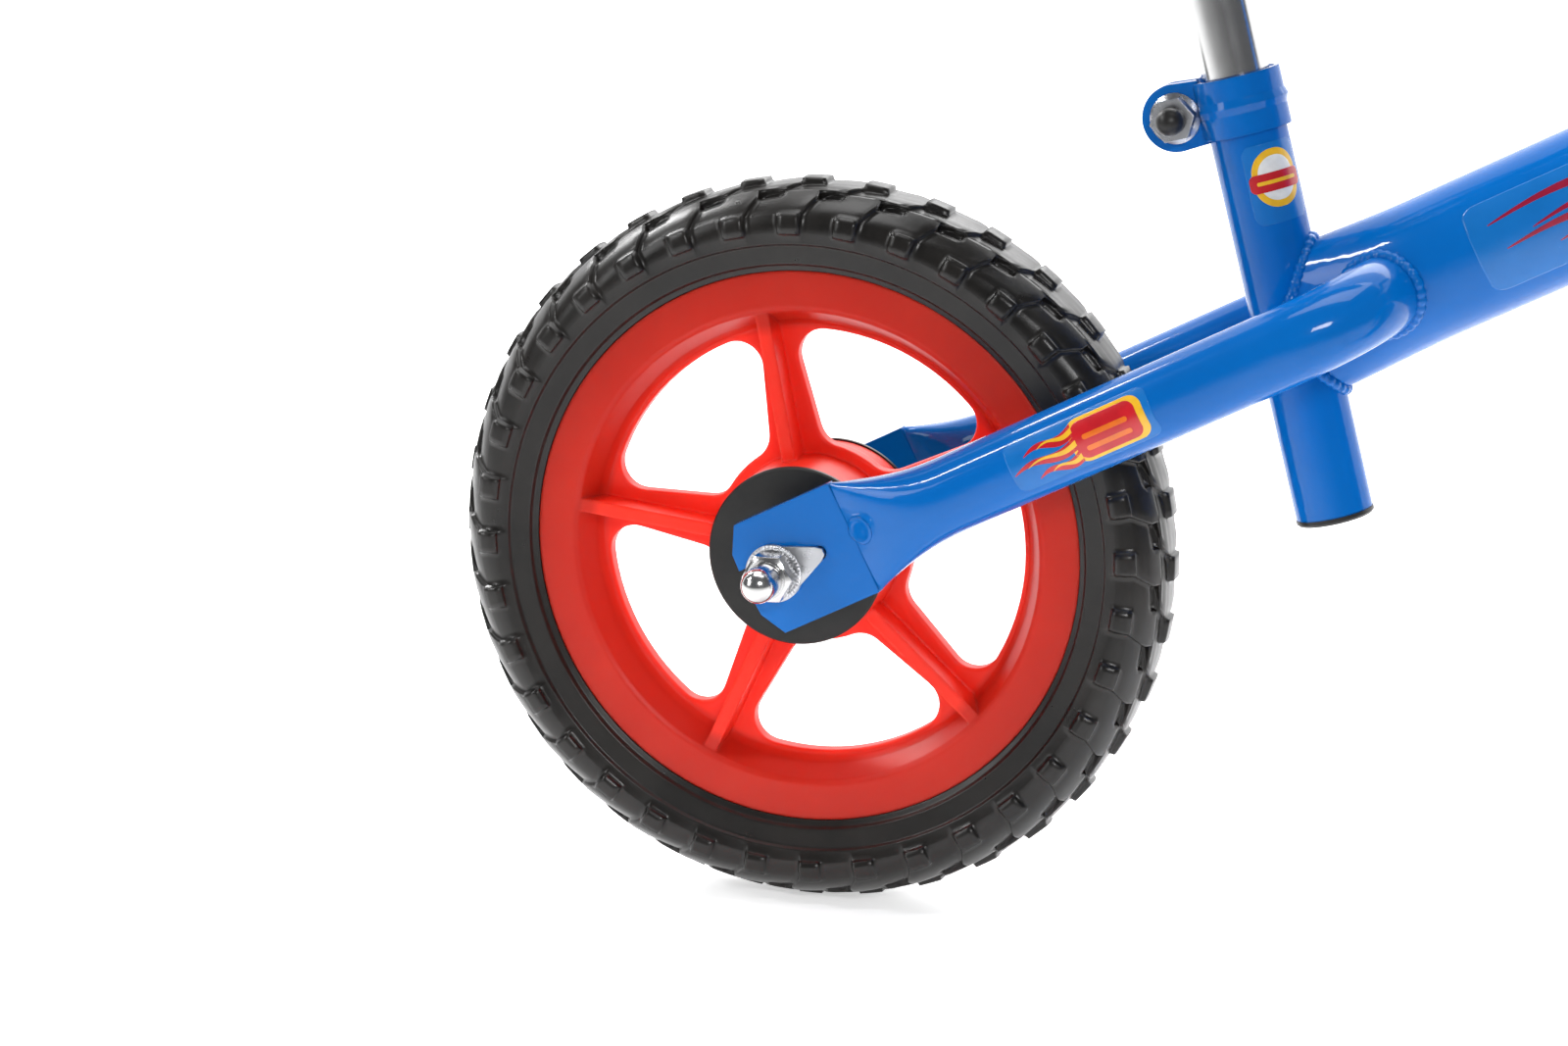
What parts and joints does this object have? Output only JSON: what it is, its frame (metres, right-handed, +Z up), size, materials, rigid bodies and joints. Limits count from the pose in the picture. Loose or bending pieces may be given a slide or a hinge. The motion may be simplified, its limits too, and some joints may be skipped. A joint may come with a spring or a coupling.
{
  "type": "balance bike",
  "caption": "Child's balance bike: rising tube frame with flattened stays, foam-tyred spoked plastic wheels, fork, riser handlebar and saddle on an adjustable post.",
  "frame": {"origin": "on the ground, midway between the two axles, in the bike's middle plane", "axes": "+X forward, +Y to the rider's left, +Z up"},
  "size_m": [0.79, 0.38, 0.5608],
  "materials": {
    "frame_paint": "gloss enamel",
    "wheel_plastic": "semi-gloss moulded",
    "tyre_foam": "satin closed-cell foam",
    "black_plastic": "satin moulded",
    "saddle_plastic": "fine grain",
    "saddle_cover": "grained vinyl",
    "grip_rubber": "matt",
    "bar_finish": "black gloss enamel",
    "chrome": "polished",
    "bearing_steel": "ground",
    "zinc_steel": "zinc plated"
  },
  "bodies": {
    "frame": {"head_tube": "frame_paint", "headset_lower_cup": "bearing_steel", "headset_upper_cup": "bearing_steel", "main_tube": "frame_paint", "rear_axle": "zinc_steel", "rear_axle_nuts": "chrome", "rear_axle_sleeves": "zinc_steel", "rear_axle_spacer": "zinc_steel", "rear_bearing_inner_rings": "bearing_steel", "rear_jam_nuts": "zinc_steel", "rear_tab_washers": "zinc_steel", "seat_clamp": "frame_paint", "seat_clamp_bolt": "zinc_steel", "seat_clamp_bolt_cap": "black_plastic", "seat_clamp_nut": "zinc_steel", "seat_tube": "frame_paint", "seat_tube_plug": "black_plastic", "stay_left": "frame_paint", "stay_right": "frame_paint"},
    "rear_wheel": {"rear_bearing_balls": "bearing_steel", "rear_bearing_outer_rings": "bearing_steel", "rear_hub_caps": "black_plastic", "rear_rim": "wheel_plastic", "rear_tyre": "tyre_foam"},
    "fork": {"fork_blade_left": "frame_paint", "fork_blade_right": "frame_paint", "fork_steerer": "frame_paint", "front_axle": "zinc_steel", "front_axle_nuts": "chrome", "front_axle_sleeves": "zinc_steel", "front_axle_spacer": "zinc_steel", "front_bearing_inner_rings": "bearing_steel", "front_jam_nuts": "zinc_steel", "front_tab_washers": "zinc_steel", "headset_crown_race": "bearing_steel", "headset_lock_nut": "zinc_steel", "headset_lock_washer": "zinc_steel", "headset_lower_balls": "bearing_steel", "headset_top_race": "bearing_steel", "headset_upper_balls": "bearing_steel"},
    "front_wheel": {"front_bearing_balls": "bearing_steel", "front_bearing_outer_rings": "bearing_steel", "front_hub_caps": "black_plastic", "front_rim": "wheel_plastic", "front_tyre": "tyre_foam"},
    "stem": {"bar_clamp_bolt": "zinc_steel", "bar_clamp_nut": "zinc_steel", "stem": "bar_finish", "stem_bolt": "zinc_steel", "stem_wedge": "zinc_steel"},
    "handlebar": {"grip_left": "grip_rubber", "grip_right": "grip_rubber", "handlebar": "bar_finish"},
    "seat_post": {"seat_post": "chrome"},
    "saddle": {"saddle_base": "saddle_plastic", "saddle_clamp_bolt": "zinc_steel", "saddle_clamp_nuts": "zinc_steel", "saddle_clamp_plates": "zinc_steel", "saddle_pad": "saddle_cover", "saddle_rails": "zinc_steel"}
  },
  "joints": [
    {"name": "rear_wheel_spin", "type": "hinge", "parent": "frame", "child": "rear_wheel", "pos_m": [-0.27, 0, 0.125], "axis": [0, 1, 0], "continuous": true},
    {"name": "steering", "type": "hinge", "parent": "frame", "child": "fork", "pos_m": [0.16374, 0, 0.34386], "axis": [-0.342, 0, 0.9397], "continuous": true},
    {"name": "front_wheel_spin", "type": "hinge", "parent": "fork", "child": "front_wheel", "pos_m": [0.27, 0, 0.125], "axis": [0, 1, 0], "continuous": true},
    {"name": "handlebar_height", "type": "slide", "parent": "fork", "child": "stem", "axis": [-0.342, 0, 0.9397], "range_m": [-0.014, 0.025]},
    {"name": "bar_tilt", "type": "hinge", "parent": "stem", "child": "handlebar", "pos_m": [0.15807, 0, 0.45885], "axis": [0, 1, 0], "range_deg": [-45, 45]},
    {"name": "seat_height", "type": "slide", "parent": "frame", "child": "seat_post", "axis": [-0.2489, 0, 0.9685], "range_m": [-0.03, 0.04]},
    {"name": "saddle_tilt", "type": "hinge", "parent": "seat_post", "child": "saddle", "pos_m": [-0.14963, 0, 0.36417], "axis": [0, 1, 0], "range_deg": [-12, 12]}
  ]
}
